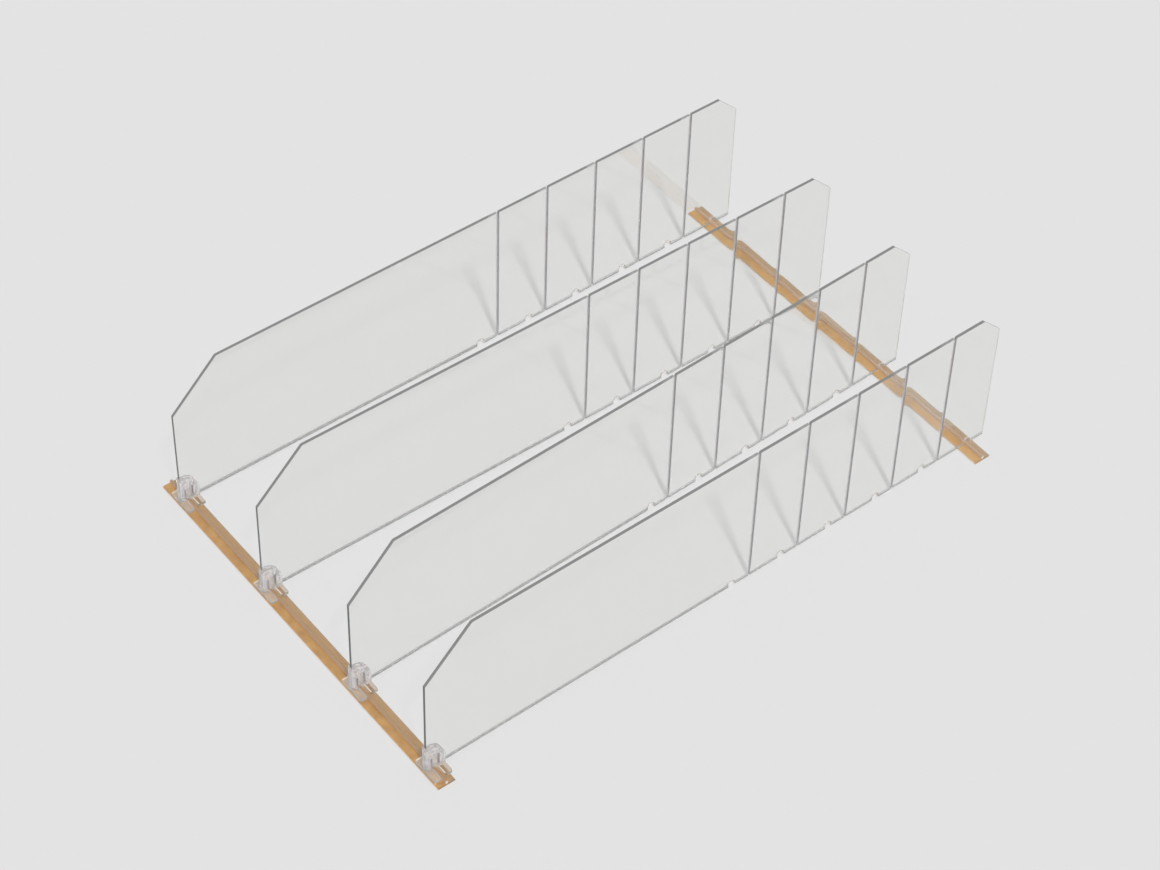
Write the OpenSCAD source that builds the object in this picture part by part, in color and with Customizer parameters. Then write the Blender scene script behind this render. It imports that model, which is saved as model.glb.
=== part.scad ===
// Set of clear shelf dividers: four break-off sheets, each held at its front by a clip that slides
// on a ridged strip, with a second strip under a notch near its back. Adhesive tape holds both strips.
// Frame: +X along the strips, +Y to the back, +Z up, origin under the middle of the whole set.

/* [Divider sheet] */
// Length of a sheet from front to back
sheet_len = 450; // [320:5:600]
// Height of a sheet
sheet_h = 112; // [70:1:200]
// Thickness of a sheet
sheet_t = 2; // [1.5:0.1:3]
// Length and height of the slope at the front top corner
front_slope = 34; // [5:1:60]
// Length and height of the slope at the back top corner
back_slope = 15.5; // [5:0.5:24]

/* [Break lines] */
// Number of break lines
break_count = 5; // [1:1:6]
// Distance between break lines, and from the last one to the back edge
break_pitch = 40; // [30:1:45]
// Width of the groove of a break line on each face
groove_w = 1.4; // [0.6:0.1:2]
// Depth of the groove of a break line in each face
groove_d = 0.55; // [0.2:0.05:0.65]
// Depth of the nick where a break line meets the top or bottom edge
nick_d = 0.9; // [0.3:0.1:2]

/* [Strip notches] */
// Width of a notch in the bottom edge
notch_w = 5.8; // [5:0.1:8]
// Height of a notch in the bottom edge
notch_h = 4.8; // [3.4:0.1:8]
// Distance from a notch to the break line or back edge behind it
notch_setback = 14; // [8:1:20]

/* [Strips] */
// Length of the front strip
strip_len = 298; // [260:1:500]
// How much shorter the back strip is at its right end
back_trim = 3; // [0:0.5:10]
// Width of both strips
strip_w = 12.5; // [11.5:0.1:20]
// Thickness of the flat base of a strip
base_t = 0.8; // [0.6:0.1:2]
// Radius of the thinned long edges of the base
base_edge_r = 0.5; // [0.2:0.1:0.6]
// Width of the neck of the ridge
neck_w = 1.2; // [0.8:0.1:1.6]
// Height of the neck of the ridge
neck_h = 1.2; // [1:0.1:1.6]
// Radius of the round bead on the neck
bead_r = 1.2; // [1:0.1:1.4]

/* [Tape] */
// Thickness of the adhesive tape
tape_t = 0.5; // [0.3:0.1:1.2]
// Distance from a long edge of the strip to the edge of the tape
tape_inset = 0.2; // [0:0.1:1.5]
// Thickness of the paper liner under the tape
liner_t = 0.1; // [0.1:0.05:0.5]

/* [Clip] */
// Length of the front foot along the strip
clip_len = 20.8; // [16:0.1:30]
// How far both feet reach to the left of the sheet
foot_left = 8.5; // [6:0.1:12]
// How much shorter the back foot is at its right end
back_foot_trim = 1.3; // [0:0.1:3]
// Distance from the middle of the ridge to the front edge of the back foot
back_foot_start = 2.9; // [2.2:0.1:3.4]
// Thickness of the feet
foot_t = 1.9; // [1.4:0.1:3]
// Distance from the front edge of the strip, and from the back of the clip, to the edge of a foot
foot_inset = 0.5; // [0.2:0.1:1.5]
// Corner radius of a foot
foot_r = 1.5; // [0.8:0.1:2]
// Size of the bevel round the top of a foot
foot_bevel = 0.5; // [0.2:0.1:0.8]
// Thickness of the wall in front of the sheet
front_wall = 1.3; // [0.8:0.1:3]
// Distance from the front edge of the sheet to the back of the clip
clip_depth = 12.7; // [11.5:0.1:18]
// Thickness of the left cheek at the sheet
left_cheek_t = 0.8; // [0.8:0.1:3]
// Thickness of the right cheek at the sheet
right_cheek_t = 1.5; // [0.8:0.1:3]
// Height of the straight back edge of a cheek
cheek_back_h = 8.6; // [7:0.1:14]
// Radius of the large round at the top of a cheek
cheek_r = 12.2; // [12:0.1:14]
// Radius of the round at the front top corner of a cheek
front_r = 3; // [1.5:0.1:4]
// How far that round would rise above the large one, which leaves a soft edge between them
front_rise = 0.2; // [0.1:0.05:0.4]
// Radius of the upright front corners of the clip
corner_r = 1.2; // [0.3:0.1:1.3]
// Radius of the rounded legs on a cheek
leg_r = 2.5; // [2:0.1:2.8]
// How far a leg stands out from its cheek
leg_proud = 1.3; // [0.5:0.1:2]
// Distance from the front face of the clip to the front leg
leg_inset = 0.25; // [0.1:0.05:0.5]
// Distance from the back face of the clip to the back leg
back_leg_inset = 1; // [0.1:0.05:1.5]
// How far the top of a leg lies below the top of its cheek
leg_drop = 2.2; // [1:0.1:3]
// Thickness of the bridge between the ridge and the sheet
bridge_t = 1.6; // [1:0.1:3]
// Width of a flexing slit
slit_w = 0.9; // [0.5:0.1:1.2]
// Distance from the front edge of the sheet to the front slit
slit_front = 1.6; // [1.2:0.1:2]
// Distance from the front edge of the sheet to the back slit
slit_back = 7.3; // [6.6:0.1:7.3]
// Height of the top of a slit above the bottom of the sheet
slit_top = 13.5; // [11:0.5:15]
// Diameter of the stud that holds the sheet
stud_d = 3.6; // [2:0.1:4]
// Length of a stud
stud_len = 0.9; // [0.6:0.1:1]
// Distance from the front edge of the sheet to the stud
stud_back = 9.8; // [9.6:0.1:10]
// Height of the stud above the bottom of the sheet
stud_up = 11.4; // [9:0.1:13]

/* [Standing places] */
// Distance from the front edge of a sheet to the middle of the front ridge
ridge_setback = 4; // [3.5:0.1:5]
// Distance from the middle of the back ridge to the middle of the notch over it
ridge_lead = 1; // [0:0.1:1.2]
// Distance from the left end of the strips to the first divider
first_inset = 17.7; // [12:0.1:60]
// Distance from the first divider to the second
first_bay = 93.2; // [60:0.1:110]
// Distance from the third divider to the fourth
last_bay = 75.8; // [60:0.1:90]
// Distance from the fourth divider to the right end of the front strip
last_inset = 15.8; // [12:0.1:60]
// Turn of each sheet in its clip in degrees, positive with its back towards +X
sheet_turn = [0, 0.5, -1.7, -0.6]; // [-2:0.1:2]

/* [Clearances] */
// Gap between a sliding piece and the strip
slide_gap = 0.25; // [0.15:0.05:0.4]
// Gap between a sheet and the clip around it
sheet_gap = 0.1; // [0.05:0.05:0.3]
// Gap around the stud in its hole
stud_gap = 0.4; // [0.2:0.05:0.6]

/* [Hidden] */
$fn = 64;
// Overlap that makes a cut pass cleanly through a face
cut_over = 1;

tape_z = liner_t;
strip_z = tape_z + tape_t;
strip_top = strip_z + base_t;
bead_z = strip_top + neck_h;
ridge_top = bead_z + bead_r;
// Height of the bottom edge of a sheet and of the underside of a clip
stand_z = strip_top + slide_gap;

// The set reaches from the front edge of the front strip to the back edge of the sheets
strip_front = strip_w / 2 - ridge_setback;
sheet_front_y = -(sheet_len - strip_front) / 2;
front_ridge_y = sheet_front_y + ridge_setback;
back_ridge_y = sheet_front_y + sheet_len - notch_setback - ridge_lead;

divider_x = [
    first_inset - strip_len / 2,
    first_inset + first_bay - strip_len / 2,
    strip_len / 2 - last_inset - last_bay,
    strip_len / 2 - last_inset
];
max_turn = max([for (turn = sheet_turn) abs(turn)]);

// Break lines and notches, as distances from the front edge of a sheet
break_places = [for (i = [break_count:-1:1]) sheet_len - i * break_pitch];
notch_places = [for (i = [break_count:-1:0]) sheet_len - i * break_pitch - notch_setback];

// The channel of a clip follows the ridge with the sliding gap all round
channel_r = bead_r + slide_gap;
lip_half = neck_w / 2 + slide_gap;
lip_top = bead_z - slide_gap;
bridge_top = ridge_top + slide_gap + bridge_t;

// The front lower corner of a sheet is cut away over the bridge, which ends behind the channel
bridge_back = ridge_setback + channel_r + bridge_t;
corner_cut_len = bridge_back + sheet_gap;
corner_cut_h = bridge_top - stand_z;

// A sheet turns about the middle of its slot, and the slot is wide enough for the largest turn
turn_y = clip_depth / 2;
slot_half = (sheet_t / 2) / cos(max_turn) + turn_y * tan(max_turn) + sheet_gap;
left_half = slot_half + left_cheek_t;
right_half = slot_half + right_cheek_t;
clip_half = max(left_half, right_half) + leg_proud;
clip_h = cheek_back_h + cheek_r;

// The feet lie in front of the ridge and behind it, and the channel trims the front one
foot_front = ridge_setback - strip_w / 2 + foot_inset;
foot_back = clip_depth - foot_inset;
foot_right = clip_len - foot_left;

// Middle of the round at the front top corner of a cheek
front_round_y = front_r - front_wall;
front_round_z = clip_h + front_rise - front_r;
leg_places = [leg_r + leg_inset - front_wall, clip_depth - leg_r - back_leg_inset];
slit_places = [slit_front, slit_back];
slit_bottom = corner_cut_h;

sheet_color = [0.86, 0.87, 0.86, 0.45];
clip_color = [0.83, 0.83, 0.84, 0.6];
strip_color = [0.85, 0.80, 0.72, 0.55];
tape_color = [0.80, 0.62, 0.38];
liner_color = [0.76, 0.60, 0.42];

// A flat shape drawn with Y to the right and Z up, made solid along X about the middle
module along_x(length) {
    rotate([90, 0, 90])
        translate([0, 0, -length / 2])
            linear_extrude(length)
                children();
}

// Half disc that stands on its flat side
module half_disc(radius) {
    intersection() {
        circle(radius);
        translate([-radius, 0])
            square([2 * radius, radius]);
    }
}

// Profile of a strip from front to back: thin-edged base, neck and round bead
module strip_profile() {
    edge_y = strip_w / 2 - base_edge_r;
    edge_r = min(base_edge_r, base_t);
    translate([-edge_y, 0])
        square([2 * edge_y, base_t]);
    translate([-strip_w / 2, 0])
        square([strip_w, base_t - edge_r]);
    for (side = [-1, 1])
        translate([side * (strip_w / 2 - edge_r), base_t - edge_r])
            half_disc(edge_r);
    translate([-neck_w / 2, 0])
        square([neck_w, base_t + neck_h]);
    translate([0, base_t + neck_h])
        half_disc(bead_r);
}

module strip(ridge_y, trim) {
    color(strip_color)
        translate([-trim / 2, ridge_y, strip_z])
            along_x(strip_len - trim)
                strip_profile();
}

module tape(ridge_y, trim) {
    width = strip_w - 2 * tape_inset;
    color(tape_color)
        translate([-strip_len / 2, ridge_y - width / 2, tape_z])
            cube([strip_len - trim, width, tape_t]);
}

module liner(ridge_y, trim) {
    color(liner_color)
        translate([-strip_len / 2, ridge_y - strip_w / 2, 0])
            cube([strip_len - trim, strip_w, liner_t]);
}

// Outline of a sheet from its front lower corner, with sloped top corners
module sheet_outline() {
    difference() {
        polygon([
            [0, corner_cut_h],
            [corner_cut_len, corner_cut_h],
            [corner_cut_len, 0],
            [sheet_len, 0],
            [sheet_len, sheet_h - back_slope],
            [sheet_len - back_slope, sheet_h],
            [front_slope, sheet_h],
            [0, sheet_h - front_slope]
        ]);
        for (place = notch_places)
            translate([place, 0])
                notch_shape();
        for (place = break_places) {
            translate([place, 0])
                nick_shape();
            translate([place, sheet_h])
                nick_shape();
        }
        translate([stud_back, stud_up])
            circle(stud_d / 2 + stud_gap);
    }
}

// Round-topped notch that stands over the ridge of the back strip
module notch_shape() {
    radius = notch_w / 2;
    translate([-radius, -cut_over])
        square([notch_w, notch_h - radius + cut_over]);
    translate([0, notch_h - radius])
        circle(radius);
}

// Small square on its corner that nicks an edge
module nick_shape() {
    rotate(45)
        square(nick_d * sqrt(2), center = true);
}

// V-shaped groove in both faces, from the bottom edge to the top edge
module break_line() {
    for (side = [-1, 1])
        translate([side * sheet_t / 2, 0, -cut_over])
            linear_extrude(sheet_h + 2 * cut_over)
                polygon([
                    [-side * groove_d, 0],
                    [side * groove_d, groove_w],
                    [side * groove_d, -groove_w]
                ]);
}

module divider(index) {
    color(sheet_color)
        translate([divider_x[index], sheet_front_y + turn_y, stand_z])
            rotate([0, 0, -sheet_turn[index]])
                translate([0, -turn_y, 0])
                    difference() {
                        along_x(sheet_t)
                            sheet_outline();
                        for (place = break_places)
                            translate([0, place, 0])
                                break_line();
                    }
}

// Side outline of a clip from the front edge of the sheet: upright front, and a large round that
// runs from the top to the back edge
module clip_side(radius) {
    difference() {
        union() {
            translate([-front_wall, 0])
                square([clip_depth + front_wall, cheek_back_h]);
            intersection() {
                translate([clip_depth - radius, cheek_back_h])
                    circle(radius);
                translate([-front_wall, cheek_back_h])
                    square([clip_depth + front_wall, cheek_r]);
            }
        }
        difference() {
            translate([-front_wall - cut_over, front_round_z])
                square([front_r + cut_over, cheek_r]);
            translate([front_round_y, front_round_z])
                circle(front_r);
        }
    }
}

// Both cheeks and the wall in front of the sheet, seen from above
module cheek_plan() {
    left = corner_r - left_half;
    right = right_half - corner_r;
    translate([-left_half, corner_r - front_wall])
        square([left_half + right_half, clip_depth + front_wall - corner_r]);
    translate([left, -front_wall])
        square([right - left, corner_r]);
    for (x = [left, right])
        translate([x, corner_r - front_wall])
            circle(corner_r);
}

// Rounded legs on the outside of both cheeks, seen from above
module leg_plan() {
    left = leg_r - leg_proud - left_half;
    right = right_half + leg_proud - leg_r;
    for (x = [left, right], y = leg_places)
        translate([x, y])
            circle(leg_r);
}

// Upright part of a clip with its slot for the sheet, standing at zero height
module clip_upright() {
    difference() {
        union() {
            intersection() {
                along_x(2 * clip_half)
                    clip_side(cheek_r);
                linear_extrude(clip_h)
                    cheek_plan();
            }
            intersection() {
                along_x(2 * clip_half)
                    clip_side(cheek_r - leg_drop);
                linear_extrude(clip_h)
                    leg_plan();
            }
        }
        translate([-slot_half, -sheet_gap, corner_cut_h])
            cube([2 * slot_half, clip_depth + 2 * sheet_gap, clip_h]);
        for (x = [-clip_half, clip_half], place = slit_places)
            translate([x, place, 0])
                flexing_slit();
    }
}

// Upright slit with round ends through a cheek
module flexing_slit() {
    radius = slit_w / 2;
    along_x(2 * clip_half)
        union() {
            translate([-radius, slit_bottom + radius])
                square([slit_w, slit_top - slit_bottom - slit_w]);
            for (height = [slit_bottom + radius, slit_top - radius])
                translate([0, height])
                    circle(radius);
        }
}

// Flat shape of a plate with its top corners bevelled, about its middle
module bevelled_plate(width) {
    half = width / 2;
    polygon([
        [-half, 0],
        [half, 0],
        [half, foot_t - foot_bevel],
        [half - foot_bevel, foot_t],
        [foot_bevel - half, foot_t],
        [-half, foot_t - foot_bevel]
    ]);
}

// Foot with round corners and a bevelled top between two places along X and along Y
module foot(left, right, front, back) {
    long = right - left;
    width = back - front;
    long_half = long / 2 - foot_r;
    wide_half = width / 2 - foot_r;
    translate([(left + right) / 2, (front + back) / 2, 0])
        intersection() {
            linear_extrude(foot_t)
                union() {
                    square([long, 2 * wide_half], center = true);
                    square([2 * long_half, width], center = true);
                    for (x = [-long_half, long_half], y = [-wide_half, wide_half])
                        translate([x, y])
                            circle(foot_r);
                }
            along_x(long)
                bevelled_plate(width);
            rotate([0, 0, 90])
                along_x(width)
                    bevelled_plate(long);
        }
}

// Front foot from the strip's edge to the ridge, and a shorter back foot that leaves the ridge free
module clip_feet() {
    foot(-foot_left, foot_right, foot_front, ridge_setback);
    foot(-foot_left, foot_right - back_foot_trim, ridge_setback + back_foot_start, foot_back);
}

// Channel for the ridge with a lip under each side of the bead
module ridge_channel() {
    straight = bead_z - stand_z;
    along_x(2 * clip_len)
        translate([ridge_setback, 0])
            union() {
                translate([-lip_half, -cut_over])
                    square([2 * lip_half, straight + cut_over]);
                translate([-channel_r, lip_top - stand_z])
                    square([2 * channel_r, slide_gap]);
                translate([0, straight])
                    half_disc(channel_r);
            }
}

// Short studs on the inner faces of both cheeks, rooted half way into them
module holding_studs() {
    left = -slot_half - left_cheek_t / 2;
    right = slot_half + right_cheek_t / 2;
    for (range = [[left, stud_len - slot_half], [slot_half - stud_len, right]])
        translate([range[0], stud_back, stud_up])
            rotate([0, 90, 0])
                cylinder(d = stud_d, h = range[1] - range[0]);
}

module clip(index) {
    color(clip_color)
        translate([divider_x[index], sheet_front_y, stand_z]) {
            difference() {
                union() {
                    clip_upright();
                    clip_feet();
                }
                ridge_channel();
                translate([-slot_half, bridge_back, -cut_over])
                    cube([2 * slot_half, clip_depth, clip_h]);
            }
            holding_studs();
        }
}

strip(front_ridge_y, 0);  // front_strip
tape(front_ridge_y, 0);  // front_tape
liner(front_ridge_y, 0);  // front_liner
strip(back_ridge_y, back_trim);  // back_strip
tape(back_ridge_y, back_trim);  // back_tape
liner(back_ridge_y, back_trim);  // back_liner
divider(0);  // divider_1
divider(1);  // divider_2
divider(2);  // divider_3
divider(3);  // divider_4
clip(0);  // clip_1
clip(1);  // clip_2
clip(2);  // clip_3
clip(3);  // clip_4
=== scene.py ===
"""Dressed scene of a set of clear shelf dividers, which stand in sliding clips on two taped strips."""
import logging
import math
from dataclasses import dataclass, field, replace
from enum import Enum

import bmesh
import bpy
from mathutils import Matrix, Vector


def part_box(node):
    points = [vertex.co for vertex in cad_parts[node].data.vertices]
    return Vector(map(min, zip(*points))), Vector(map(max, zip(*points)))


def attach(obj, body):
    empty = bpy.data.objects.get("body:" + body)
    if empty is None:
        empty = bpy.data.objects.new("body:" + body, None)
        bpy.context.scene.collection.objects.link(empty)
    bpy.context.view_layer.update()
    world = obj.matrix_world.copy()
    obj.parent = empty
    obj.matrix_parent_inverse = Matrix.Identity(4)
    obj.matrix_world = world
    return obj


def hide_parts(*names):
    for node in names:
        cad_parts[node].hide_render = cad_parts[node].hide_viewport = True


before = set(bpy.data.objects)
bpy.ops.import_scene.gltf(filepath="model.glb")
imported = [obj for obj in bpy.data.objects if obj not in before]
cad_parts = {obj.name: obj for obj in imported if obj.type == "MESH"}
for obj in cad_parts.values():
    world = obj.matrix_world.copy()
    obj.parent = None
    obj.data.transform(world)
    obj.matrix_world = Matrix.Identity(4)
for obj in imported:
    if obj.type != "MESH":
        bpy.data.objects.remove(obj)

log = logging.getLogger("shelf_dividers")

MM = 0.001
IMAGE_WIDTH = 1160
WHITE = "#FFFFFF"
# Vertices closer than this are one vertex of a solid
MERGE_DISTANCE = 0.001 * MM
# Neighbouring faces that turn by less than this are one flat area
FLAT_TURN = math.radians(0.5)
# Two faces that turn by more than this meet in a sharp edge
SHARP_TURN = math.radians(50)
ALONG_STRIPS = Vector((1.0, 0.0, 0.0))
UP = Vector((0.0, 0.0, 1.0))
# Shading normals that a copy of a CAD mesh brings along and that no longer fit it
CAD_NORMALS = "custom_normal"
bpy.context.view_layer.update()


def linear(hex_code: str) -> tuple[float, float, float, float]:
    """Turn an sRGB hex colour into a linear colour with full alpha.

    Args:
        hex_code: Colour such as "#E3E3E3".

    Returns:
        Red, green, blue and alpha, each from 0 to 1.
    """
    channels = [int(hex_code[start:start + 2], 16) / 255 for start in (1, 3, 5)]
    low = [value / 12.92 for value in channels]
    high = [((value + 0.055) / 1.055) ** 2.4 for value in channels]
    return (*(a if value <= 0.04045 else b for value, a, b in zip(channels, low, high)), 1.0)


def per_size(size_mm: float) -> float:
    """Give the scale of a texture from the size of its features.

    Args:
        size_mm: About how many millimetres one feature of the pattern takes.

    Returns:
        The scale, in features per metre.
    """
    return 1 / (size_mm * MM)


def add_node(
    tree: bpy.types.NodeTree,
    kind: str,
    values: dict[str | int, object] | None = None,
    links: dict[str | int, bpy.types.NodeSocket] | None = None,
    **settings: object,
) -> bpy.types.Node:
    """Add one node with its settings, socket values and incoming links.

    Args:
        tree: Node tree that gets the node.
        kind: Blender's name of the node type.
        values: Constant values by input name or place.
        links: Output sockets by the input that each feeds.
        settings: Properties of the node itself.

    Returns:
        The new node.
    """
    node = tree.nodes.new(kind)
    for name, value in settings.items():
        setattr(node, name, value)
    for name, value in (values or {}).items():
        node.inputs[name].default_value = value
    for name, source in (links or {}).items():
        tree.links.new(source, node.inputs[name])
    return node


def new_material(name: str) -> tuple[bpy.types.Material, bpy.types.NodeTree]:
    """Make an empty node material.

    Args:
        name: Name of the real material.

    Returns:
        The material and its node tree.
    """
    material = bpy.data.materials.new(name)
    material.use_nodes = True
    material.node_tree.nodes.clear()
    return material, material.node_tree


class Ramp(Enum):
    """Ways in which a colour ramp passes from one stop to the next."""

    SMOOTH = "EASE"
    STRAIGHT = "LINEAR"


def set_stops(node: bpy.types.Node, stops: list[tuple[float, tuple]], ramp: Ramp = Ramp.STRAIGHT) -> None:
    """Give a colour ramp its two stops.

    Args:
        node: The colour ramp.
        stops: Place and colour of both stops, in rising order.
        ramp: How the ramp passes between them.
    """
    node.color_ramp.interpolation = ramp.value
    for element, (place, colour) in zip(node.color_ramp.elements, stops):
        element.position = place
        element.color = colour


@dataclass(frozen=True)
class ClearPlastic:
    """Clear plastic with a tint, fine scuffs and a slightly wavy surface.

    The eye sees what lies behind it, a little darker and shifted, with a faint mirror image on top.
    """

    name: str
    tint: str
    ior: float
    # Share of the light that passes; the rest is scattered by the surface
    clear_share: float
    # Share of the light that goes straight on to the surfaces behind and under it
    lamp_share: float
    rough_low: float
    rough_high: float
    scuff_mm: float
    # Stretch of the scuffs along X, Y and Z
    scuff_stretch: tuple[float, float, float]
    wave_mm: float
    wave_height_mm: float
    # Values of the scuff pattern at which the surface is smoothest and roughest
    scuff_from: float = 0.4
    scuff_to: float = 0.75

    def material(self) -> bpy.types.Material:
        """Build the material.

        Returns:
            The material.
        """
        material, tree = new_material(self.name)
        place = add_node(tree, "ShaderNodeTexCoord")
        scuff_place = add_node(
            tree, "ShaderNodeMapping", {"Scale": self.scuff_stretch}, {"Vector": place.outputs["Object"]}
        )
        scuffs = add_node(
            tree,
            "ShaderNodeTexNoise",
            {"Scale": per_size(self.scuff_mm), "Detail": 5.0, "Roughness": 0.6},
            {"Vector": scuff_place.outputs["Vector"]},
        )
        roughness = add_node(
            tree,
            "ShaderNodeMapRange",
            {
                "From Min": self.scuff_from,
                "From Max": self.scuff_to,
                "To Min": self.rough_low,
                "To Max": self.rough_high,
            },
            {"Value": scuffs.outputs["Fac"]},
        )
        waves = add_node(
            tree,
            "ShaderNodeTexNoise",
            {"Scale": per_size(self.wave_mm), "Detail": 1.0},
            {"Vector": place.outputs["Object"]},
        )
        bump = add_node(
            tree,
            "ShaderNodeBump",
            {"Strength": 1.0, "Distance": self.wave_height_mm * MM},
            {"Height": waves.outputs["Fac"]},
        )
        surface = add_node(
            tree,
            "ShaderNodeBsdfPrincipled",
            {
                "Base Color": linear(self.tint),
                "IOR": self.ior,
                "Transmission Weight": self.clear_share,
            },
            {"Roughness": roughness.outputs["Result"], "Normal": bump.outputs["Normal"]},
        )
        lamp_way = add_node(tree, "ShaderNodeBsdfTransparent", {"Color": linear(WHITE)})
        ray = add_node(tree, "ShaderNodeLightPath")
        light_ray = add_node(
            tree,
            "ShaderNodeMath",
            links={0: ray.outputs["Is Shadow Ray"], 1: ray.outputs["Is Diffuse Ray"]},
            operation="MAXIMUM",
        )
        lamp_fac = add_node(
            tree,
            "ShaderNodeMath",
            {1: self.lamp_share},
            {0: light_ray.outputs[0]},
            operation="MULTIPLY",
        )
        both = add_node(
            tree,
            "ShaderNodeMixShader",
            links={
                0: lamp_fac.outputs[0],
                1: surface.outputs["BSDF"],
                2: lamp_way.outputs["BSDF"],
            },
        )
        add_node(tree, "ShaderNodeOutputMaterial", links={"Surface": both.outputs[0]})
        return material


@dataclass(frozen=True)
class AdhesiveTape:
    """Double-sided film tape with amber adhesive, pressed on by hand.

    The eye sees an uneven tan, strong along the front and greyer behind the ridge, where a painted glare
    stands in for the strip's reflection of grey surroundings. It is paler where small bubbles keep it from
    wetting the strip, and has a painted cream highlight along its cut sides.
    """

    name: str = "amber acrylic adhesive tape"
    deep: str = "#B37C24"
    pale: str = "#CA953C"
    # Greyer tan of the painted glare behind the ridge, standing in for the strip's reflection of grey
    # surroundings
    rear_glare: str = "#B08750"
    bubble: str = "#CFA468"
    # Cream of the painted highlight along the cut sides
    side: str = "#FFF0DC"
    # Stretch across the tape over which the strong tan turns into the painted glare, and how far blotches
    # shift it
    rear_glare_mm: float = 3.0
    rear_glare_shift_mm: float = 6.0
    # Width of the painted cream highlight along each cut side
    side_highlight_mm: float = 0.06
    # Size of the blotches, and the values of their pattern that are deepest and palest
    blotch_mm: float = 9.0
    blotch_deep: float = 0.35
    blotch_pale: float = 0.65
    # Distance between bubbles, and at which share of it one starts to fade and is gone
    bubble_mm: float = 1.6
    bubble_inner: float = 0.12
    bubble_outer: float = 0.3
    # Share of a bubble's colour at its middle
    bubble_share: float = 0.35
    roughness: float = 0.45

    def material(self, box: tuple[Vector, Vector]) -> bpy.types.Material:
        """Build the material.

        Args:
            box: Lowest and highest corner of the tape, in metres.

        Returns:
            The material.
        """
        front, back = box[0].y, box[1].y
        middle = (front + back) / 2
        material, tree = new_material(self.name)
        place = add_node(tree, "ShaderNodeTexCoord")
        blotches = add_node(
            tree,
            "ShaderNodeTexNoise",
            {"Scale": per_size(self.blotch_mm), "Detail": 4.0, "Roughness": 0.55},
            {"Vector": place.outputs["Object"]},
        )
        tan = add_node(tree, "ShaderNodeValToRGB", links={"Fac": blotches.outputs["Fac"]})
        stops = [(self.blotch_deep, linear(self.deep)), (self.blotch_pale, linear(self.pale))]
        set_stops(tan, stops, Ramp.SMOOTH)
        centred = add_node(
            tree, "ShaderNodeMapping", {"Location": (0.0, -middle, 0.0)}, {"Vector": place.outputs["Object"]}
        )
        across = add_node(tree, "ShaderNodeSeparateXYZ", links={"Vector": centred.outputs["Vector"]})
        shifted = add_node(
            tree,
            "ShaderNodeMath",
            {1: self.rear_glare_shift_mm * MM},
            {0: blotches.outputs["Fac"], 2: across.outputs["Y"]},
            operation="MULTIPLY_ADD",
        )
        # The blotches' mean is a half, so that their mean shift is half of the largest one
        glare_start = (self.rear_glare_shift_mm - self.rear_glare_mm) / 2 * MM
        # Share of the painted glare, which grows behind the ridge
        glare_share = add_node(
            tree,
            "ShaderNodeMapRange",
            {"From Min": glare_start, "From Max": glare_start + self.rear_glare_mm * MM},
            {"Value": shifted.outputs[0]},
            interpolation_type="SMOOTHSTEP",
        )
        hazy = add_node(
            tree,
            "ShaderNodeMix",
            {"B": linear(self.rear_glare)},
            {"Factor": glare_share.outputs["Result"], "A": tan.outputs["Color"]},
            data_type="RGBA",
        )
        cells = add_node(
            tree,
            "ShaderNodeTexVoronoi",
            {"Scale": per_size(self.bubble_mm)},
            {"Vector": place.outputs["Object"]},
        )
        bubble_edge = add_node(
            tree,
            "ShaderNodeMapRange",
            {
                "From Min": self.bubble_inner,
                "From Max": self.bubble_outer,
                "To Min": self.bubble_share,
                "To Max": 0.0,
            },
            {"Value": cells.outputs["Distance"]},
        )
        bubbled = add_node(
            tree,
            "ShaderNodeMix",
            {"B": linear(self.bubble)},
            {"Factor": bubble_edge.outputs["Result"], "A": hazy.outputs["Result"]},
            data_type="RGBA",
        )
        # Painted cream highlight along the tape's cut sides
        off_middle = add_node(tree, "ShaderNodeMath", links={0: across.outputs["Y"]}, operation="ABSOLUTE")
        half = (back - front) / 2
        side_highlight_share = add_node(
            tree,
            "ShaderNodeMapRange",
            {"From Min": half - self.side_highlight_mm * MM, "From Max": half - self.side_highlight_mm * MM / 2},
            {"Value": off_middle.outputs[0]},
        )
        colour = add_node(
            tree,
            "ShaderNodeMix",
            {"B": linear(self.side)},
            {"Factor": side_highlight_share.outputs["Result"], "A": bubbled.outputs["Result"]},
            data_type="RGBA",
        )
        surface = add_node(
            tree,
            "ShaderNodeBsdfPrincipled",
            {"Roughness": self.roughness},
            {"Base Color": colour.outputs["Result"]},
        )
        add_node(tree, "ShaderNodeOutputMaterial", links={"Surface": surface.outputs["BSDF"]})
        return material


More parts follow.
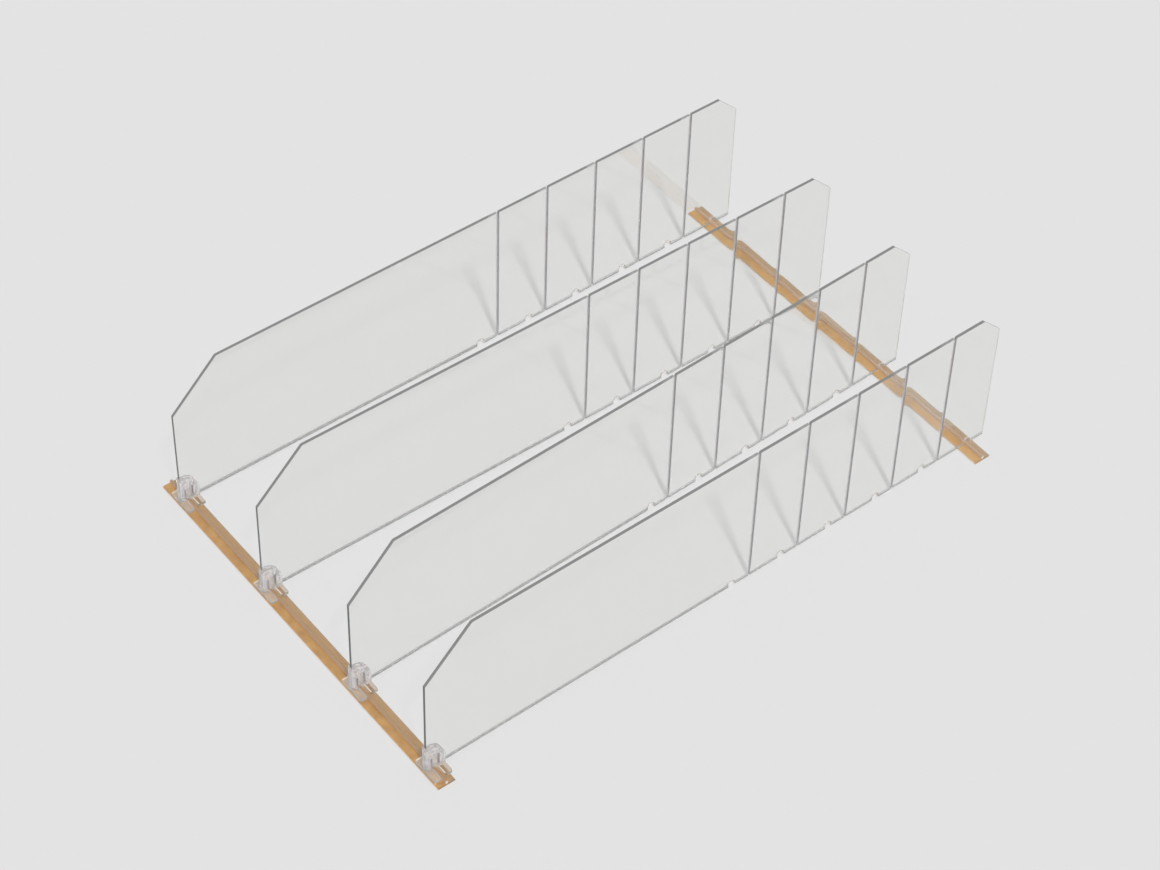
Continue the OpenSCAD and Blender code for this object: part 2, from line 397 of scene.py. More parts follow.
@dataclass(frozen=True)
class LinerPaper:
    """Brown release paper with a satin coat and short fibres that run along the strip."""

    name: str = "coated kraft release paper"
    dark: str = "#A67C4A"
    light: str = "#BE9560"
    fibre_mm: float = 0.8
    fibre_stretch: tuple[float, float, float] = (0.25, 1.0, 1.0)
    # Values of the fibre pattern that are darkest and lightest
    fibre_dark: float = 0.3
    fibre_light: float = 0.7
    roughness: float = 0.55

    def material(self) -> bpy.types.Material:
        """Build the material.

        Returns:
            The material.
        """
        material, tree = new_material(self.name)
        place = add_node(tree, "ShaderNodeTexCoord")
        along = add_node(
            tree, "ShaderNodeMapping", {"Scale": self.fibre_stretch}, {"Vector": place.outputs["Object"]}
        )
        fibres = add_node(
            tree,
            "ShaderNodeTexNoise",
            {"Scale": per_size(self.fibre_mm), "Detail": 6.0},
            {"Vector": along.outputs["Vector"]},
        )
        brown = add_node(tree, "ShaderNodeValToRGB", links={"Fac": fibres.outputs["Fac"]})
        set_stops(brown, [(self.fibre_dark, linear(self.dark)), (self.fibre_light, linear(self.light))])
        surface = add_node(
            tree,
            "ShaderNodeBsdfPrincipled",
            {"Roughness": self.roughness},
            {"Base Color": brown.outputs["Color"]},
        )
        add_node(tree, "ShaderNodeOutputMaterial", links={"Surface": surface.outputs["BSDF"]})
        return material


# Tape of the front strip: a strong tan that shows through the strip
FRONT_TAPE = AdhesiveTape()
# Tape of the back strip, wetted less and so paler
BACK_TAPE = AdhesiveTape(
    name="amber acrylic adhesive tape, half wetted",
    deep="#C8964E",
    pale="#D8A55A",
    rear_glare="#B4956E",
    bubble="#DCBA92",
)
# Liner under both tapes
LINER = LinerPaper()
# Cast acrylic with polished faces: almost invisible, with a faint grey tint
SHEET_FACE = ClearPlastic(
    name="polished cast acrylic",
    tint="#F6F6F4",
    ior=1.49,
    clear_share=1.0,
    lamp_share=1.0,
    rough_low=0.0,
    rough_high=0.05,
    scuff_mm=6.0,
    scuff_stretch=(1.0, 0.3, 1.0),
    wave_mm=60.0,
    wave_height_mm=0.02,
)
# The same acrylic along the sawn top: satin, so that it scatters light and looks grey
SHEET_TOP = ClearPlastic(
    name="saw-cut acrylic top edge",
    tint="#CCCECC",
    ior=1.49,
    clear_share=0.6,
    lamp_share=0.6,
    rough_low=0.1,
    rough_high=0.3,
    scuff_mm=1.0,
    scuff_stretch=(1.0, 0.2, 1.0),
    wave_mm=4.0,
    wave_height_mm=0.02,
)
# The same acrylic at its ends, where the sheet gathers less light and looks darker
SHEET_END = replace(
    SHEET_TOP,
    name="saw-cut acrylic end",
    tint="#6A6C6A",
    clear_share=0.45,
    lamp_share=0.4,
    scuff_stretch=(0.2, 1.0, 1.0),
)
# The same acrylic along its bottom edge: satin, and it keeps light from the floor under it
SHEET_BOTTOM = replace(
    SHEET_TOP,
    name="saw-cut acrylic bottom edge",
    tint="#A8AAA8",
    clear_share=0.3,
    lamp_share=0.0,
    rough_low=0.2,
    rough_high=0.4,
    wave_height_mm=0.01,
)
# The same acrylic just above the bottom edge, greyed as a painted shadow band that stands in for the sheet's
# shadow on the floor seen through it
SHEET_SHADOW_MARGIN = replace(
    SHEET_BOTTOM, name="acrylic margin with painted shadow band", tint="#C0C1BF", clear_share=0.6, lamp_share=0.5
)
# The same margin along the break-off pieces, with a lighter painted shadow band
SHEET_BACK_SHADOW_MARGIN = replace(
    SHEET_SHADOW_MARGIN, name="acrylic back margin with lighter painted shadow band", tint="#DCDDDB", clear_share=0.85
)
# The same acrylic where it was scored to break: a soft lilac-grey line
SHEET_SCORE = ClearPlastic(
    name="scored acrylic groove",
    tint="#CCCACC",
    ior=1.49,
    clear_share=0.55,
    lamp_share=0.1,
    rough_low=0.35,
    rough_high=0.5,
    scuff_mm=3.0,
    scuff_stretch=(1.0, 1.0, 0.2),
    wave_mm=30.0,
    wave_height_mm=0.005,
)
# The same acrylic beside a scored line, pulled in a little, so that it bends light away
SHEET_FLANK = replace(
    SHEET_SCORE,
    name="acrylic beside a score",
    tint="#ECEBEB",
    clear_share=0.9,
    lamp_share=0.25,
    rough_low=0.05,
    rough_high=0.15,
)
# The same acrylic at its rear end, pale because it faces away into the light
SHEET_REAR = replace(
    SHEET_BOTTOM,
    name="saw-cut acrylic rear end",
    tint="#EDEFED",
    clear_share=0.15,
    lamp_share=0.8,
    scuff_stretch=(0.2, 1.0, 1.0),
)
# The same acrylic around the notches, which were punched and gather light from below
SHEET_NOTCH = replace(
    SHEET_REAR, name="punched acrylic notch", tint="#EADFD6", clear_share=0.5, lamp_share=0.4
)
# Injection-moulded polycarbonate: clear and slightly milky, with glossy rounded edges
CLIP_BODY = ClearPlastic(
    name="moulded clear polycarbonate",
    tint="#FCFCFE",
    ior=1.52,
    clear_share=0.8,
    lamp_share=0.85,
    rough_low=0.0,
    rough_high=0.03,
    scuff_mm=2.0,
    scuff_stretch=(1.0, 1.0, 0.4),
    wave_mm=5.0,
    wave_height_mm=0.02,
)
# The same plastic in the thin front foot: a milky veil through which the tape shows
CLIP_FOOT = replace(
    CLIP_BODY,
    name="moulded clear polycarbonate foot",
    tint="#EEEEEC",
    clear_share=0.84,
    lamp_share=0.9,
    rough_low=0.04,
    rough_high=0.1,
    scuff_stretch=(0.4, 1.0, 1.0),
)
# The same plastic in the back foot, which hangs over the strip's edge, with a painted tan that stands in for
# the tape seen through it
CLIP_BACK_FOOT = replace(
    CLIP_FOOT, name="moulded clear polycarbonate back foot with painted tape tan", tint="#E0D4C6", clear_share=0.92
)
# The same plastic along the feet's rims, which gather the light of the tape and look cream
CLIP_RIM = replace(
    CLIP_FOOT,
    name="moulded clear polycarbonate rim",
    tint="#FFF4E6",
    clear_share=0.3,
    rough_low=0.1,
    rough_high=0.2,
    wave_height_mm=0.01,
)
# The same plastic inside the slits and around the studs, where little light gets in
CLIP_SLIT = replace(
    CLIP_BODY,
    name="moulded clear polycarbonate slit",
    tint="#B4AEB0",
    clear_share=0.5,
    lamp_share=0.7,
    rough_low=0.15,
    rough_high=0.3,
    scuff_mm=1.0,
    wave_mm=3.0,
    wave_height_mm=0.01,
)
# Extruded clear vinyl: faint draw lines along its length
STRIP_BODY = ClearPlastic(
    name="extruded clear vinyl",
    tint="#FAF9F7",
    ior=1.5,
    clear_share=0.97,
    lamp_share=0.95,
    rough_low=0.15,
    rough_high=0.25,
    scuff_mm=0.8,
    scuff_stretch=(0.02, 1.0, 1.0),
    wave_mm=3.0,
    wave_height_mm=0.01,
)
# The same vinyl on the ridge, less clear, rougher and tinted tan-grey: a dull, greyer band over the tape
STRIP_RIDGE = replace(
    STRIP_BODY,
    name="hazy clear vinyl ridge",
    tint="#C0A287",
    clear_share=0.4,
    lamp_share=1.0,
    rough_low=0.4,
    rough_high=0.5,
)
# The ridge over the paler tape of the back strip
BACK_RIDGE = replace(STRIP_RIDGE, name="hazy clear vinyl ridge over pale tape", tint="#D0B49C")
# The same vinyl where the strip was trimmed, with a painted highlight: a pale front of the base and pale
# ends of the ridge, standing in for light glinting on these cut faces
STRIP_CUT_HIGHLIGHT = replace(STRIP_RIDGE, name="trimmed clear vinyl with painted highlight", tint="#FFF4EA", clear_share=0.2)


def merged_copy(node: str) -> bmesh.types.BMesh:
    """Copy a CAD node's mesh, with doubles merged and flat areas made whole faces.

    Args:
        node: Name of the CAD node.

    Returns:
        A new bmesh.
    """
    shape = bmesh.new()
    shape.from_mesh(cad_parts[node].data)
    bmesh.ops.remove_doubles(shape, verts=shape.verts, dist=MERGE_DISTANCE)
    bmesh.ops.dissolve_limit(
        shape, angle_limit=FLAT_TURN, use_dissolve_boundaries=False, verts=shape.verts, edges=shape.edges
    )
    return shape


def cut_across(shape: bmesh.types.BMesh, place: Vector, normal: Vector) -> None:
    """Cut the faces of a mesh along a plane and keep both sides.

    Args:
        shape: Mesh to change.
        place: Point on the plane.
        normal: Normal of the plane.
    """
    whole = [*shape.verts, *shape.edges, *shape.faces]
    bmesh.ops.bisect_plane(shape, geom=whole, dist=MERGE_DISTANCE, plane_co=place, plane_no=normal)


def bevel_sharp_edges(shape: bmesh.types.BMesh, width: float, steps: int) -> None:
    """Break every edge where two faces turn sharply.

    Args:
        shape: Mesh to change.
        width: Width of the bevel in metres.
        steps: Segments across the bevel.
    """
    sharp = [edge for edge in shape.edges if edge.is_manifold and edge.calc_face_angle(0.0) > SHARP_TURN]
    bmesh.ops.bevel(
        shape,
        geom=sharp,
        offset=width,
        offset_type="OFFSET",
        affect="EDGES",
        segments=steps,
        profile=0.5,
        material=-1,
        clamp_overlap=True,
    )


def put_in_order(shape: bmesh.types.BMesh) -> None:
    """Sort vertices and faces by place, because a bevel leaves them in an order that changes each run.

    Args:
        shape: Mesh to change.
    """
    by_place = sorted(shape.verts, key=lambda vert: tuple(vert.co))
    ranks = {vert: rank for rank, vert in enumerate(by_place)}
    shape.verts.sort(key=ranks.get)
    shape.verts.index_update()
    by_verts = sorted(shape.faces, key=lambda face: sorted(vert.index for vert in face.verts))
    ranks = {face: rank for rank, face in enumerate(by_verts)}
    shape.faces.sort(key=ranks.get)
    shape.faces.index_update()


def finish_piece(
    shape: bmesh.types.BMesh,
    name: str,
    materials: list[bpy.types.Material],
    body: str,
    replaced: str,
    smooth_turn: float,
) -> None:
    """Turn a mesh into a piece that stands for a CAD node and moves with its body.

    Args:
        shape: Finished mesh, which is freed.
        name: Name of the piece.
        materials: Materials in the order of the faces' indices.
        body: Body that the piece rides on.
        replaced: CAD node that the piece stands for.
        smooth_turn: Faces that turn less than this angle look smooth, in radians.
    """
    mesh = bpy.data.meshes.new(name)
    put_in_order(shape)
    shape.to_mesh(mesh)
    shape.free()
    if CAD_NORMALS in mesh.attributes:
        mesh.attributes.remove(mesh.attributes[CAD_NORMALS])
    mesh.shade_smooth()
    mesh.set_sharp_from_angle(angle=smooth_turn)
    for material in materials:
        mesh.materials.append(material)
    piece = bpy.data.objects.new(name, mesh)
    bpy.context.scene.collection.objects.link(piece)
    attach(piece, body)
    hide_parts(replaced)
    log.info("%s: %d faces on %s", name, len(mesh.polygons), body)


class StripPlace(Enum):
    """Where a strip lies on the shelf."""

    FRONT = "front"
    BACK = "back"


class StripFace(Enum):
    """Kinds of surface on a strip, by material index."""

    STRIP = 0
    RIDGE = 1
    # Trimmed faces, which carry a painted highlight
    STRIP_CUT_HIGHLIGHT = 2


@dataclass
class TapedStrip:
    """Ridged strip with its tape and liner."""

    place: StripPlace
    body: str = "strips"
    # Width of the broken edges, and the segments across each
    edge_break: float = 0.12 * MM
    edge_steps: int = 2
    # Air under the strip, too thin to see, so that the tape shows through it
    tape_gap: float = 0.02 * MM
    # Height from which a face belongs to the hazy ridge
    ridge_from: float = 1.45 * MM
    # The front of the base and the ends of the ridge, which face outwards more than this, were trimmed and
    # get the painted highlight
    cut_cosine: float = 0.9
    # Faces that turn less than this look smooth
    smooth_turn: float = math.radians(20)

    def build(self, finishes: dict[str, bpy.types.Material]) -> None:
        """Build and dress the strip, its tape and its liner.

        Args:
            finishes: Materials by the name of the surface.
        """
        name = self.place.value
        strip = merged_copy(f"{name}_strip")
        lowest = min(vert.co.z for vert in strip.verts)
        underside = [vert for vert in strip.verts if vert.co.z < lowest + MERGE_DISTANCE]
        bmesh.ops.translate(strip, verts=underside, vec=(0.0, 0.0, self.tape_gap))
        bevel_sharp_edges(strip, self.edge_break, self.edge_steps)
        cut_across(strip, UP * self.ridge_from, UP)
        for face in strip.faces:
            face.material_index = self.kind_of(face).value
        finish_piece(
            strip,
            f"{name}_ridged_strip",
            [finishes["strip"], finishes[f"{name}_ridge"], finishes["strip_cut_highlight"]],
            self.body,
            f"{name}_strip",
            self.smooth_turn,
        )
        for layer, finish in (("tape", f"{name}_tape"), ("liner", "liner")):
            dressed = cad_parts[f"{name}_{layer}"]
            dressed.data.materials.clear()
            dressed.data.materials.append(finishes[finish])
            log.info("%s_%s: dressed", name, layer)

    def kind_of(self, face: bmesh.types.BMFace) -> StripFace:
        """Tell which kind of surface a face of the strip belongs to.

        Args:
            face: Face of the strip.

        Returns:
            The kind of surface.
        """
        if face.calc_center_median().z < self.ridge_from:
            return StripFace.STRIP_CUT_HIGHLIGHT if face.normal.y < -self.cut_cosine else StripFace.STRIP
        if abs(face.normal.x) > self.cut_cosine:
            return StripFace.STRIP_CUT_HIGHLIGHT
        return StripFace.RIDGE


class SheetFace(Enum):
    """Kinds of surface on a sheet, by material index."""

    POLISHED = 0
    TOP = 1
    END = 2
    SCORED = 3
    BOTTOM = 4
    # Lowest strip of the polished faces, which carries a painted shadow band
    MARGIN = 5
    FLANK = 6
    REAR = 7
    NOTCH = 8
    # The same strip along the break-off pieces, with a lighter painted shadow band
    BACK_MARGIN = 9


class ClipFace(Enum):
    """Kinds of surface on a clip, by material index."""

    CLIP = 0
    CLIP_FOOT = 1
    CLIP_RIM = 2
    CLIP_SLIT = 3
    CLIP_BACK_FOOT = 4


@dataclass
class Divider:
    """One sheet in its clip."""

    number: int
    body: str
    # Faces that turn less than this look smooth
    smooth_turn: float = math.radians(35)
    # Width of a clip's broken edges, and the segments across each
    clip_edge_break: float = 0.2 * MM
    clip_edge_steps: int = 1
    # Height of a clip's feet, and the distance from its front beyond which a foot is the back one
    foot_height: float = 2.1 * MM
    back_foot: float = 6.0 * MM
    # A face of a foot that leans between these belongs to its rounded edge
    foot_cosine: float = 0.95
    rim_cosine: float = 0.3
    # Width of the bright rim at the left ends of the feet
    rim_width: float = 0.7 * MM
    # Distances of a clip's slits from its front, half the width that each takes, and their top
    slit_places: tuple[float, ...] = (3.35 * MM, 9.05 * MM)
    slit_reach: float = 0.6 * MM
    slit_top: float = 13.7 * MM
    # Distance of a stud from the clip's front and underside, and the radius that it takes
    stud_back: float = 11.55 * MM
    stud_up: float = 11.4 * MM
    stud_reach: float = 2.0 * MM
    # A wall of a slit is no wider than a cheek is thick, and looks sideways less than this
    cheek_most: float = 3.0 * MM
    wall_cosine: float = 0.3
    # Height of the margin along a sheet's bottom that carries the painted shadow band, and the length over
    # which that band is darkest
    margin: float = 1.9 * MM
    margin_length: float = 235 * MM
    # A face whose normal lies closer to the sheet's than this is a polished face
    polished_cosine: float = 0.97
    # A face that leans across the sheet by more than this and hardly up or down is the side of a scored line
    scored_cosine: float = 0.3
    # A face that looks up by more than the first is the top edge, and one that looks down by more than the
    # second is the bottom edge
    level_cosine: float = 0.7
    bottom_cosine: float = 0.3
    # A face that looks back more than this is the rear end
    rear_cosine: float = 0.9
    # A sawn face this low, off both ends of the sheet, is the wall of a notch
    notch_top: float = 5.0 * MM
    end_reach: float = 5.0 * MM
    # Width of the flank on each side of a scored line
    flank: float = 0.6 * MM
    # Scored faces further apart than this belong to different lines
    line_gap: float = 5.0 * MM
    # Depth by which the faces sink at a scored line, how fast that fades, and where they are cut to bend
    sink_depth: float = 0.035 * MM
    sink_reach: float = 2.0 * MM
    sink_rows_mm: tuple[float, ...] = (0.6, 1.2, 1.8, 2.5, 3.3, 4.2, 5.5, 7.0, 9.0, 12.0)
    # Vertices further from the middle than this share of half the thickness sink
    outer_share: float = 0.9

    def build(self, finishes: dict[str, bpy.types.Material]) -> None:
        """Build and dress the sheet and its clip.

        Args:
            finishes: Materials by the name of the surface.
        """
        self.build_sheet([finishes[kind.name.lower()] for kind in SheetFace])
        self.build_clip([finishes[kind.name.lower()] for kind in ClipFace])

    def build_clip(self, materials: list[bpy.types.Material]) -> None:
        """Build the clip, with its feet, their rims and the insides of its slits told apart.

        Args:
            materials: Materials in the order of ClipFace.
        """
        shape = merged_copy(f"clip_{self.number}")
        lowest = min(vert.co.z for vert in shape.verts)
        front = min(vert.co.y for vert in shape.verts)
        rim_end = min(vert.co.x for vert in shape.verts) + self.rim_width
        bevel_sharp_edges(shape, self.clip_edge_break, self.clip_edge_steps)
        cut_across(shape, ALONG_STRIPS * rim_end, ALONG_STRIPS)
        for face in shape.faces:
            if self.lies_in_slit(face, front, lowest):
                face.material_index = ClipFace.CLIP_SLIT.value
            elif face.calc_center_median().z < lowest + self.foot_height:
                face.material_index = self.foot_kind(face, front, rim_end).value
        finish_piece(
            shape,
            f"moulded_clip_{self.number}",
            materials,
            self.body,
            f"clip_{self.number}",
            self.smooth_turn,
        )

    def foot_kind(self, face: bmesh.types.BMFace, front: float, rim_end: float) -> ClipFace:
        """Tell the bright rims of the feet from the feet themselves.

        Args:
            face: Face of a foot.
            front: Place of the clip's front along Y.
            rim_end: Place along X up to which the left ends of the feet are bright.

        Returns:
            The rim for the left ends and for the back foot's rounded front edge, or else the foot.
        """
        middle = face.calc_center_median()
        if middle.x < rim_end:
            return ClipFace.CLIP_RIM
        if middle.y - front < self.back_foot:
            return ClipFace.CLIP_FOOT
        rounded = self.rim_cosine < face.normal.z < self.foot_cosine
        if rounded and face.normal.y < -self.rim_cosine:
            return ClipFace.CLIP_RIM
        # The rest of the back foot gets the painted tan of the tape seen through it
        return ClipFace.CLIP_BACK_FOOT

    def lies_in_slit(self, face: bmesh.types.BMFace, front: float, lowest: float) -> bool:
        """Tell whether a face of the clip is a wall of a slit or the side of a stud.

        Args:
            face: Face of the clip.
            front: Place of the clip's front along Y.
            lowest: Height of the clip's underside.

        Returns:
            Whether the face lies in a slit or around a stud.
        """
        across = [vert.co.x for vert in face.verts]
        if abs(face.normal.x) > self.wall_cosine or max(across) - min(across) > self.cheek_most:
            return False
        middle = face.calc_center_median()
        back = middle.y - front
        height = middle.z - lowest
        in_slit = any(abs(back - place) < self.slit_reach for place in self.slit_places)
        by_stud = math.hypot(back - self.stud_back, height - self.stud_up) < self.stud_reach
        return by_stud or (in_slit and self.foot_height < height < self.slit_top)

    def build_sheet(self, materials: list[bpy.types.Material]) -> None:
        """Build the sheet, with its faces, sawn edges and scored lines told apart.

        Args:
            materials: Materials in the order of SheetFace.
        """
        shape = merged_copy(f"divider_{self.number}")
        across = max(shape.faces, key=lambda face: face.calc_area()).normal.copy()
        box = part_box(f"divider_{self.number}")
        cut_across(shape, UP * (box[0].z + self.margin), UP)
        for face in shape.faces:
            face.material_index = self.kind_of(face, across, box).value
        self.sink_faces(shape, across)
        finish_piece(
            shape,
            f"break_off_sheet_{self.number}",
            materials,
            self.body,
            f"divider_{self.number}",
            self.smooth_turn,
        )

    def sink_faces(self, shape: bmesh.types.BMesh, across: Vector) -> None:
        """Let both faces sink towards the scored lines, as scoring leaves them.

        Args:
            shape: Mesh of the sheet, with its kinds of surface set.
            across: Direction through the thickness of the sheet.
        """
        along = UP.cross(across).normalized()
        scored = [face for face in shape.faces if face.material_index == SheetFace.SCORED.value]
        places = sorted(vert.co.dot(along) for face in scored for vert in face.verts)
        lines: list[list[float]] = []
        for place in places:
            if not lines or place - lines[-1][-1] > self.line_gap:
                lines.append([])
            lines[-1].append(place)
        depths = [vert.co.dot(across) for vert in shape.verts]
        middle = (min(depths) + max(depths)) / 2
        outer = self.outer_share * (max(depths) - min(depths)) / 2
        for line in lines:
            for row in self.sink_rows_mm:
                for place in (line[0] - row * MM, line[-1] + row * MM):
                    cut_across(shape, along * place, along)
        for face in shape.faces:
            if face.material_index == SheetFace.POLISHED.value:
                place = face.calc_center_median().dot(along)
                if min(max(line[0] - place, place - line[-1]) for line in lines) < self.flank:
                    face.material_index = SheetFace.FLANK.value
        for vert in shape.verts:
            side = vert.co.dot(across) - middle
            if abs(side) < outer:
                continue
            place = vert.co.dot(along)
            gap = min(max(line[0] - place, place - line[-1], 0.0) for line in lines)
            sink = self.sink_depth * math.exp(-gap / self.sink_reach)
            vert.co -= across * math.copysign(sink, side)

    def kind_of(self, face: bmesh.types.BMFace, across: Vector, box: tuple[Vector, Vector]) -> SheetFace:
        """Tell which kind of surface a face belongs to.

        Args:
            face: Face of the sheet.
            across: Direction through the thickness of the sheet.
            box: Lowest and highest corner of the sheet.

        Returns:
            The kind of surface.
        """
        low, high = box
        middle = face.calc_center_median()
        cosine = abs(face.normal.dot(across))
        if cosine > self.polished_cosine:
            if max(vert.co.z for vert in face.verts) > low.z + self.margin + MERGE_DISTANCE:
                return SheetFace.POLISHED
            # The lowest strip of a polished face carries the painted shadow band
            return SheetFace.MARGIN if middle.y < low.y + self.margin_length else SheetFace.BACK_MARGIN
        if cosine > self.scored_cosine and abs(face.normal.z) < self.scored_cosine:
            return SheetFace.SCORED
        off_end = min(middle.y - low.y, high.y - middle.y) > self.end_reach
        if off_end and MERGE_DISTANCE < middle.z - low.z < self.notch_top:
            return SheetFace.NOTCH
        if face.normal.z < -self.bottom_cosine:
            return SheetFace.BOTTOM
        if face.normal.z > self.level_cosine:
            return SheetFace.TOP
        return SheetFace.REAR if face.normal.y > self.rear_cosine else SheetFace.END


def direction(azimuth: float, elevation: float) -> Vector:
    """Give the direction from the set to something around it.

    Args:
        azimuth: Angle from the front towards the right, in radians.
        elevation: Angle above the floor, in radians.

    Returns:
        The direction, one metre long.
    """
    flat = math.cos(elevation)
    return Vector((math.sin(azimuth) * flat, -math.cos(azimuth) * flat, math.sin(elevation)))


@dataclass
class Studio:
    """Pale floor, soft light and the camera."""

    backdrop: str = "#E3E3E3"
    floor_size: float = 12.0
    # The floor lies this far under the set, so that the two share no plane
    floor_drop: float = 0.02 * MM
    # Share of the floor's look that ignores shadows
    floor_glow: float = 0.45
    # Brightness of the even light from the sky
    sky_level: float = 0.5
    # Brightness overhead that glass and gloss mirror, and the heights between which the sky turns to it
    ceiling: str = "#B4B4B4"
    ceiling_from: float = 0.05
    ceiling_to: float = 0.6
    # Camera: the point that it looks at, its distance, its angles, its lens and how far it sees
    target: Vector = field(default_factory=lambda: Vector((-0.02694, 0.01558, 0.0)))
    distance: float = 2.04422
    azimuth: float = math.radians(50.834)
    elevation: float = math.radians(46.966)
    roll: float = math.radians(1.895)
    focal_px: float = 3145.6
    sensor: float = 36.0
    sight: float = 50.0
    # Key light: its angles, its spread, and the share of the light on the floor that comes from it
    key_azimuth: float = math.radians(70)
    key_elevation: float = math.radians(58)
    key_spread: float = math.radians(5)
    key_level: float = 0.5

    def build(self) -> None:
        """Build the floor, the light and the camera."""
        self.build_floor()
        self.build_world()
        self.build_key()
        self.build_camera()
        bpy.context.scene.view_settings.view_transform = "Standard"

    def seen_rays(self, tree: bpy.types.NodeTree) -> bpy.types.NodeSocket:
        """Tell the rays by which the eye sees a surface, straight or through gloss and glass, from others.

        Args:
            tree: Node tree that gets the nodes.

        Returns:
            A socket that is 1 for such rays and 0 for others.
        """
        ray = add_node(tree, "ShaderNodeLightPath")
        first = add_node(
            tree,
            "ShaderNodeMath",
            links={0: ray.outputs["Is Camera Ray"], 1: ray.outputs["Is Glossy Ray"]},
            operation="MAXIMUM",
        )
        both = add_node(
            tree,
            "ShaderNodeMath",
            links={0: first.outputs[0], 1: ray.outputs["Is Transmission Ray"]},
            operation="MAXIMUM",
        )
        return both.outputs[0]

    def build_floor(self) -> None:
        """Build the pale floor, which keeps a part of the shadows."""
        shape = bmesh.new()
        bmesh.ops.create_grid(
            shape,
            x_segments=1,
            y_segments=1,
            size=self.floor_size / 2,
            matrix=Matrix.Translation((0.0, 0.0, -self.floor_drop)),
        )
        mesh = bpy.data.meshes.new("floor")
        shape.to_mesh(mesh)
        shape.free()
        material, tree = new_material("matt backdrop paper")
        paper = add_node(tree, "ShaderNodeBsdfDiffuse", {"Color": linear(self.backdrop)})
        glow = add_node(tree, "ShaderNodeEmission", {"Color": linear(self.backdrop), "Strength": 1.0})
        share = add_node(
            tree, "ShaderNodeMath", {1: self.floor_glow}, {0: self.seen_rays(tree)}, operation="MULTIPLY"
        )
        both = add_node(
            tree,
            "ShaderNodeMixShader",
            links={0: share.outputs[0], 1: paper.outputs[0], 2: glow.outputs[0]},
        )
        add_node(tree, "ShaderNodeOutputMaterial", links={"Surface": both.outputs[0]})
        mesh.materials.append(material)
        floor = bpy.data.objects.new("floor", mesh)
        bpy.context.scene.collection.objects.link(floor)

    def build_world(self) -> None:
        """Build the even sky light, with a greyer ceiling for what mirrors it."""
        world = bpy.data.worlds.new("studio")
        world.use_nodes = True
        tree = world.node_tree
        tree.nodes.clear()
        place = add_node(tree, "ShaderNodeTexCoord")
        height = add_node(tree, "ShaderNodeSeparateXYZ", links={"Vector": place.outputs["Generated"]})
        mirrored = add_node(tree, "ShaderNodeValToRGB", links={"Fac": height.outputs["Z"]})
        stops = [(self.ceiling_from, linear(self.backdrop)), (self.ceiling_to, linear(self.ceiling))]
        set_stops(mirrored, stops, Ramp.SMOOTH)
        ray = add_node(tree, "ShaderNodeLightPath")
        lit = add_node(tree, "ShaderNodeBackground", {"Color": linear(WHITE), "Strength": self.sky_level})
        gloss = add_node(
            tree, "ShaderNodeBackground", {"Strength": 1.0}, {"Color": mirrored.outputs["Color"]}
        )
        plain = add_node(tree, "ShaderNodeBackground", {"Color": linear(self.backdrop), "Strength": 1.0})
        by_gloss = add_node(
            tree,
            "ShaderNodeMixShader",
            links={0: self.seen_rays(tree), 1: lit.outputs[0], 2: gloss.outputs[0]},
        )
        by_camera = add_node(
            tree,
            "ShaderNodeMixShader",
            links={0: ray.outputs["Is Camera Ray"], 1: by_gloss.outputs[0], 2: plain.outputs[0]},
        )
        add_node(tree, "ShaderNodeOutputWorld", links={"Surface": by_camera.outputs[0]})
        bpy.context.scene.world = world

    def build_key(self) -> None:
        """Build the soft key light at the right, the same all over the floor."""
        towards = direction(self.key_azimuth, self.key_elevation)
        lamp = bpy.data.lights.new("key", "SUN")
        lamp.angle = self.key_spread
        lamp.energy = self.key_level * math.pi / math.sin(self.key_elevation)
        key = bpy.data.objects.new("key", lamp)
        key.rotation_euler = towards.to_track_quat("Z", "Y").to_euler()
        bpy.context.scene.collection.objects.link(key)

    def build_camera(self) -> None:
        """Build the camera at the photograph's viewing angle."""
        back = direction(self.azimuth, self.elevation)
        lens = bpy.data.cameras.new("camera")
        lens.sensor_fit = "HORIZONTAL"
        lens.sensor_width = self.sensor
        lens.lens = self.focal_px / IMAGE_WIDTH * self.sensor
        lens.clip_end = self.sight
        turn = back.to_track_quat("Z", "Y").to_matrix() @ Matrix.Rotation(self.roll, 3, "Z")
        camera = bpy.data.objects.new("camera", lens)
        camera.matrix_world = Matrix.Translation(self.target + back * self.distance) @ turn.to_4x4()
        bpy.context.scene.collection.objects.link(camera)
        bpy.context.scene.camera = camera


def main() -> None:
    """Build and dress the whole set."""
    logging.basicConfig(level=logging.INFO, format="%(name)s: %(message)s")
    finishes = {
        "polished": SHEET_FACE.material(),
        "top": SHEET_TOP.material(),
        "end": SHEET_END.material(),
        "scored": SHEET_SCORE.material(),
        "bottom": SHEET_BOTTOM.material(),
        "margin": SHEET_SHADOW_MARGIN.material(),
        "back_margin": SHEET_BACK_SHADOW_MARGIN.material(),
        "flank": SHEET_FLANK.material(),
        "rear": SHEET_REAR.material(),
        "notch": SHEET_NOTCH.material(),
        "clip": CLIP_BODY.material(),
        "clip_foot": CLIP_FOOT.material(),
        "clip_back_foot": CLIP_BACK_FOOT.material(),
        "clip_rim": CLIP_RIM.material(),
        "clip_slit": CLIP_SLIT.material(),
        "strip": STRIP_BODY.material(),
        "strip_cut_highlight": STRIP_CUT_HIGHLIGHT.material(),
        "front_ridge": STRIP_RIDGE.material(),
        "back_ridge": BACK_RIDGE.material(),
        "front_tape": FRONT_TAPE.material(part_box("front_tape")),
        "back_tape": BACK_TAPE.material(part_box("back_tape")),
        "liner": LINER.material(),
    }
    Studio().build()
    for place in StripPlace:
        TapedStrip(place).build(finishes)
    bodies = ("first_divider", "second_divider", "third_divider", "fourth_divider")
    for number, body in enumerate(bodies, start=1):
        Divider(number, body).build(finishes)


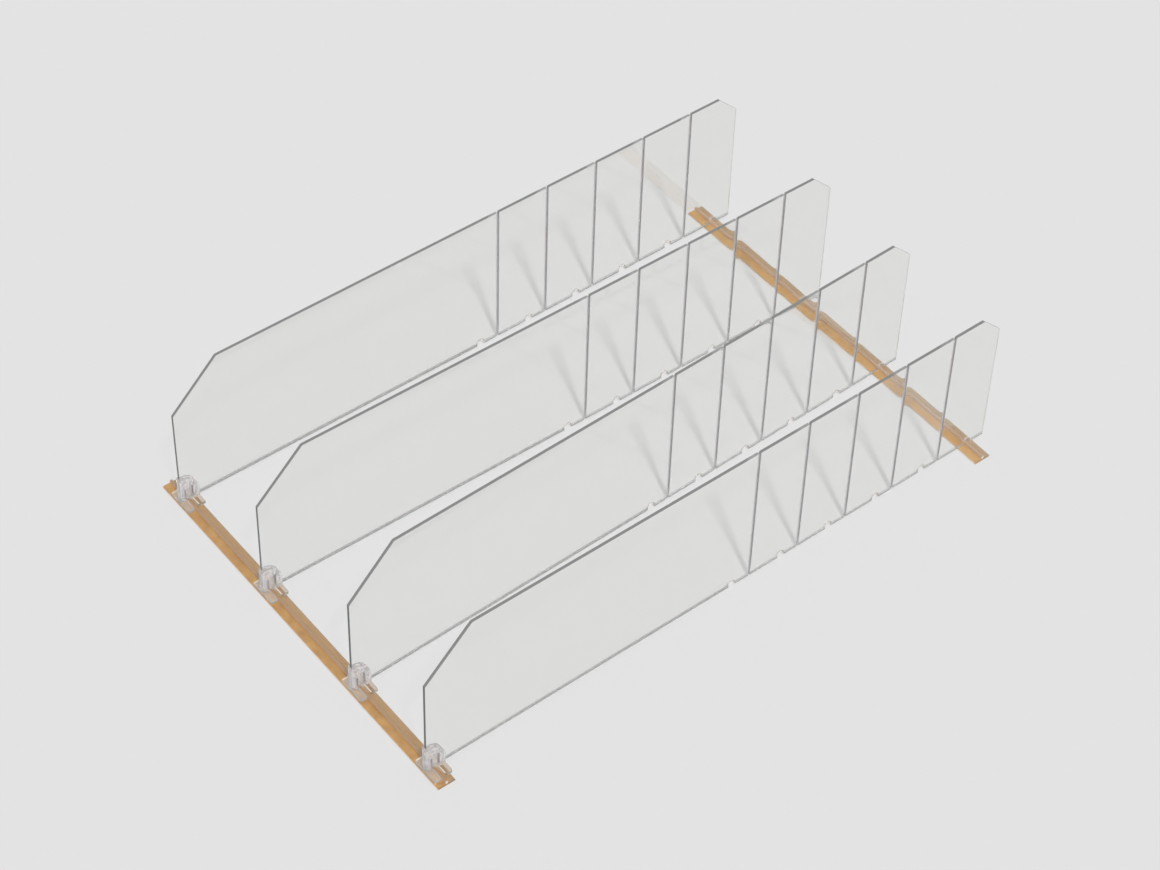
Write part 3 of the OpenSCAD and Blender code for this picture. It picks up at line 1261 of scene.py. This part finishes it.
if __name__ == "__main__":
    main()
